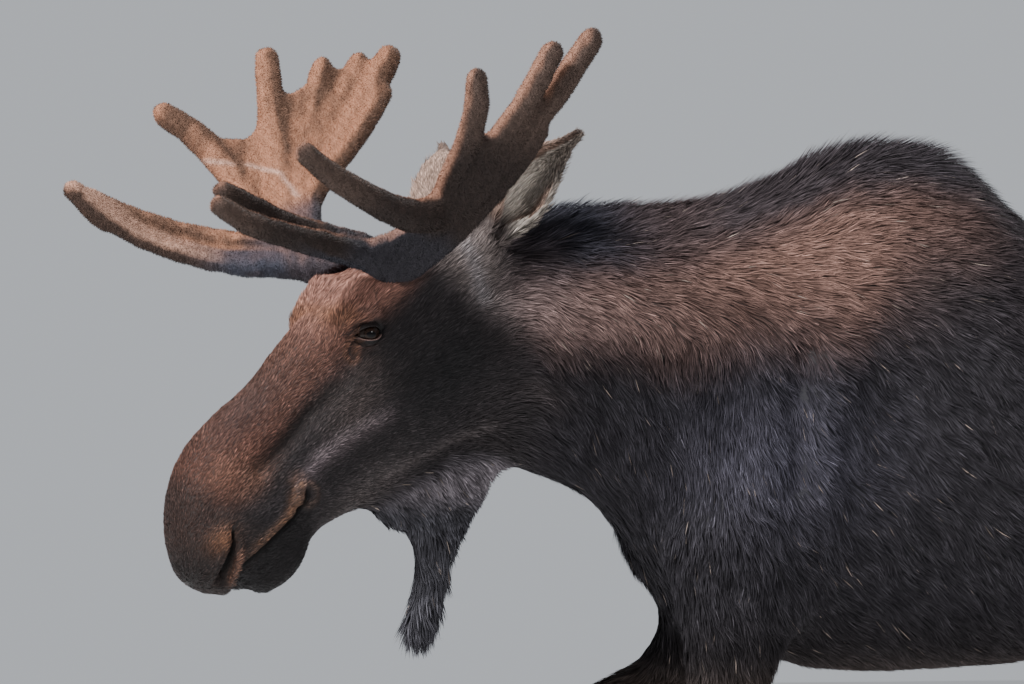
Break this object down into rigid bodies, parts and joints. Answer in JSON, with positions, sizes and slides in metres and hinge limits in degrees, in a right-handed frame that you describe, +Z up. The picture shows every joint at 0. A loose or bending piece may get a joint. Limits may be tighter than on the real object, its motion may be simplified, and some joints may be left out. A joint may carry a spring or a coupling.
{
  "type": "moose",
  "caption": "Life-size still model of a bull moose in velvet, walking with its head lowered and its right fore foot lifted.",
  "frame": {"origin": "on the floor, under the middle of the animal's bounding box", "axes": "+Z up; the animal faces -Y and its left side is +X"},
  "size_m": [1.018, 2.7078, 2.0726],
  "materials": {
    "coat_dark": "long coarse black-brown coat hair",
    "coat_face": "short reddish brown face hair",
    "coat_leg": "short grey-brown leg hair",
    "ear_hair": "soft ear hair",
    "velvet": "antler velvet, a short dense nap",
    "horn": "black horn of the hooves",
    "eye": "wet dark brown eye"
  },
  "bodies": {
    "root": {"antler_left_beam": "velvet", "antler_left_brow": "velvet", "antler_left_palm": "velvet", "antler_right_beam": "velvet", "antler_right_brow": "velvet", "antler_right_palm": "velvet", "bell": "coat_dark", "dewclaw_front_left_a": "horn", "dewclaw_front_left_b": "horn", "dewclaw_front_right_a": "horn", "dewclaw_front_right_b": "horn", "dewclaw_hind_left_a": "horn", "dewclaw_hind_left_b": "horn", "dewclaw_hind_right_a": "horn", "dewclaw_hind_right_b": "horn", "ear_left": "ear_hair", "ear_right": "ear_hair", "eye_left": "eye", "eye_right": "eye", "head": "coat_face", "hoof_front_left_a": "horn", "hoof_front_left_b": "horn", "hoof_front_right_a": "horn", "hoof_front_right_b": "horn", "hoof_hind_left_a": "horn", "hoof_hind_left_b": "horn", "hoof_hind_right_a": "horn", "hoof_hind_right_b": "horn", "leg_front_left_lower": "coat_leg", "leg_front_left_upper": "coat_leg", "leg_front_right_lower": "coat_leg", "leg_front_right_upper": "coat_leg", "leg_hind_left_lower": "coat_leg", "leg_hind_left_upper": "coat_leg", "leg_hind_right_lower": "coat_leg", "leg_hind_right_upper": "coat_leg", "neck": "coat_dark", "tail": "coat_dark", "trunk": "coat_dark"}
  },
  "joints": []
}
